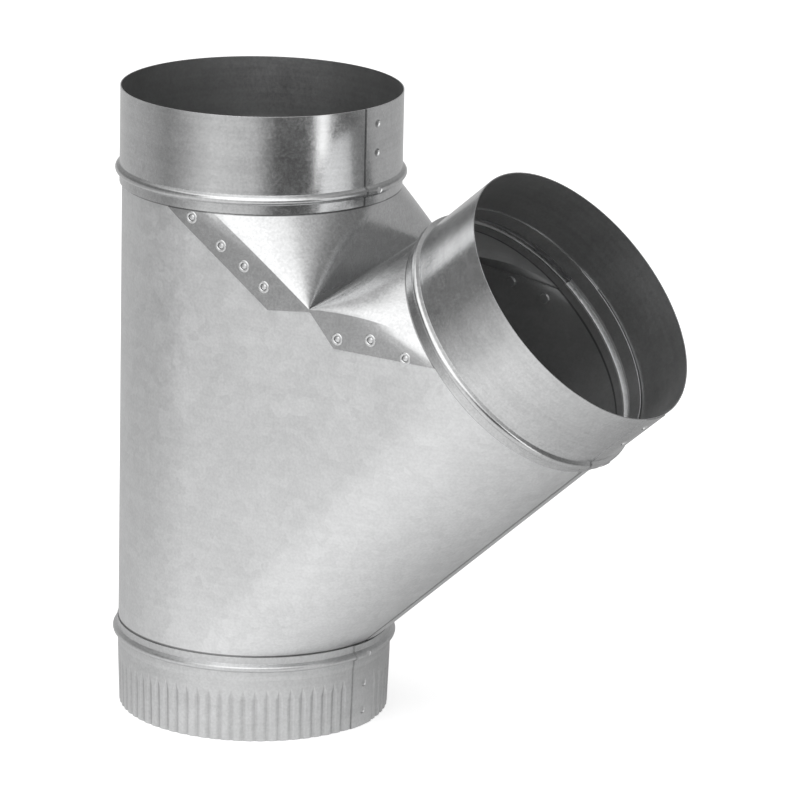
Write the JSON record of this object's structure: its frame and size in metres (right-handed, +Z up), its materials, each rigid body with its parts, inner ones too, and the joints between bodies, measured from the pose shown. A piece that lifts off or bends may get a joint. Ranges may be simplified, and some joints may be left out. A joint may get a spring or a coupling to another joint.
{
  "type": "duct y branch",
  "caption": "Galvanised sheet-metal duct Y branch: a crimped lower end splits into a straight upper collar and an angled branch collar, joined by a creased crotch saddle.",
  "frame": {"origin": "centre of the rim of the crimped lower end, which the fitting stands on", "axes": "+Z up along the straight run, +X towards the branch, Y across the fitting"},
  "size_m": [0.3294, 0.1585, 0.3487],
  "materials": {
    "galvanised_sheet": "satin"
  },
  "bodies": {
    "root": {"body_wrapper": "galvanised_sheet", "crotch_saddle": "galvanised_sheet", "top_collar": "galvanised_sheet", "branch_collar": "galvanised_sheet", "bottom_collar": "galvanised_sheet"}
  },
  "joints": []
}
